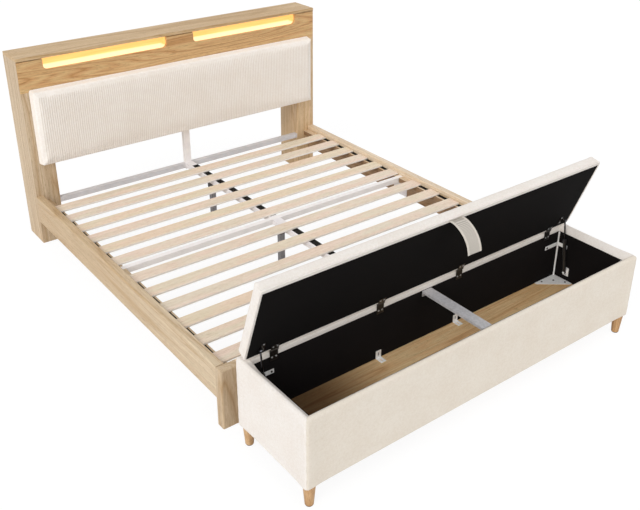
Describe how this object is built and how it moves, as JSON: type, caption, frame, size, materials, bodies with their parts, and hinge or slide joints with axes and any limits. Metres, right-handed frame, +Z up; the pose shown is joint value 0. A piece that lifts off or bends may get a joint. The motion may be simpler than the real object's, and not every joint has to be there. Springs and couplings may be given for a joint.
{
  "type": "bed with blanket chest",
  "caption": "Slatted wooden bed with a lit, padded headboard, and a padded blanket chest with a strut-held lid standing at its foot.",
  "frame": {"origin": "on the floor, in the middle of the whole set of bed and chest with the lid open", "axes": "+Y towards the headboard, +X to the right seen from the foot, +Z up"},
  "size_m": [2, 2.837, 1.128],
  "materials": {
    "light_oak": "satin lacquer over light oak grain",
    "slat_birch": "bare sanded slat wood",
    "niche_liner": "satin, lit from above by a warm light strip",
    "led_diffuser": "milky light diffuser",
    "cream_upholstery": "cream-white ribbed cloth over foam",
    "strap_cloth": "cream ribbed cloth",
    "white_powder_coat": "white powder coat",
    "grey_powder_coat": "grey powder coat",
    "black_webbing": "black woven webbing",
    "black_lining": "matt black lining cloth",
    "zinc_plate": "bright zinc plating",
    "dark_steel": "dark nickel-plated steel",
    "black_enamel": "black enamel",
    "polished_rod": "polished chrome"
  },
  "bodies": {
    "bed_and_chest": {"head_side_left": "light_oak", "head_side_right": "light_oak", "post_left": "light_oak", "post_right": "light_oak", "top_board": "light_oak", "fascia": "light_oak", "niche_tray_left": "niche_liner", "niche_tray_right": "niche_liner", "led_strips": "led_diffuser", "back_panel": "light_oak", "base_board": "light_oak", "cushion_board": "light_oak", "head_cushion": "cream_upholstery", "centre_post": "white_powder_coat", "rail_left": "light_oak", "rail_right": "light_oak", "foot_rail": "light_oak", "foot_leg_left": "light_oak", "foot_leg_right": "light_oak", "ledge_left": "light_oak", "ledge_right": "light_oak", "head_cross_tube": "white_powder_coat", "mid_cross_tube": "white_powder_coat", "beam_head": "white_powder_coat", "beam_foot": "white_powder_coat", "centre_legs": "grey_powder_coat", "rail_plates": "white_powder_coat", "webbing": "black_webbing", "slat_1": "slat_birch", "slat_2": "slat_birch", "slat_3": "slat_birch", "slat_4": "slat_birch", "slat_5": "slat_birch", "slat_6": "slat_birch", "slat_7": "slat_birch", "slat_8": "slat_birch", "slat_9": "slat_birch", "slat_10": "slat_birch", "slat_11": "slat_birch", "slat_12": "slat_birch", "chest_front": "cream_upholstery", "chest_rear": "cream_upholstery", "chest_end_left": "cream_upholstery", "chest_end_right": "cream_upholstery", "chest_lining": "black_lining", "chest_floor": "light_oak", "brace_bar": "zinc_plate", "corner_fittings": "zinc_plate", "chest_legs": "light_oak", "wall_leaves": "dark_steel", "strut_brackets": "dark_steel"},
    "lid": {"lid_pad": "cream_upholstery", "lid_lining": "black_lining", "lid_leaves": "dark_steel", "lid_brackets": "dark_steel", "pull_strap": "strap_cloth"},
    "cylinder_left": {"strut_left": "black_enamel"},
    "cylinder_right": {"strut_right": "black_enamel"},
    "plunger_left": {"rod_left": "polished_rod"},
    "plunger_right": {"rod_right": "polished_rod"}
  },
  "joints": [
    {"name": "lid_hinge", "type": "hinge", "parent": "bed_and_chest", "child": "lid", "pos_m": [0, -0.9965, 0.439], "axis": [1, 0, 0], "range_deg": [0, 70], "deforming": ["pull_strap"]},
    {"name": "strut_pivot_left", "type": "hinge", "parent": "bed_and_chest", "child": "cylinder_left", "pos_m": [-0.925, -1.0665, 0.2], "axis": [1, 0, 0], "range_deg": [0, 3.81]},
    {"name": "strut_slide_left", "type": "slide", "parent": "cylinder_left", "child": "plunger_left", "axis": [0, 0.1319, 0.9913], "range_m": [-0.0631, 0]},
    {"name": "strut_pivot_right", "type": "hinge", "parent": "bed_and_chest", "child": "cylinder_right", "pos_m": [0.925, -1.0665, 0.2], "axis": [1, 0, 0], "range_deg": [0, 3.81]},
    {"name": "strut_slide_right", "type": "slide", "parent": "cylinder_right", "child": "plunger_right", "axis": [0, 0.1319, 0.9913], "range_m": [-0.0631, 0]}
  ],
  "couplings": [
    {"joint": "strut_pivot_left", "follows": "lid_hinge", "ratio": 0.05377},
    {"joint": "strut_slide_left", "follows": "lid_hinge", "m_per_rad": -0.051496},
    {"joint": "strut_pivot_right", "follows": "lid_hinge", "ratio": 0.05377},
    {"joint": "strut_slide_right", "follows": "lid_hinge", "m_per_rad": -0.051496}
  ]
}
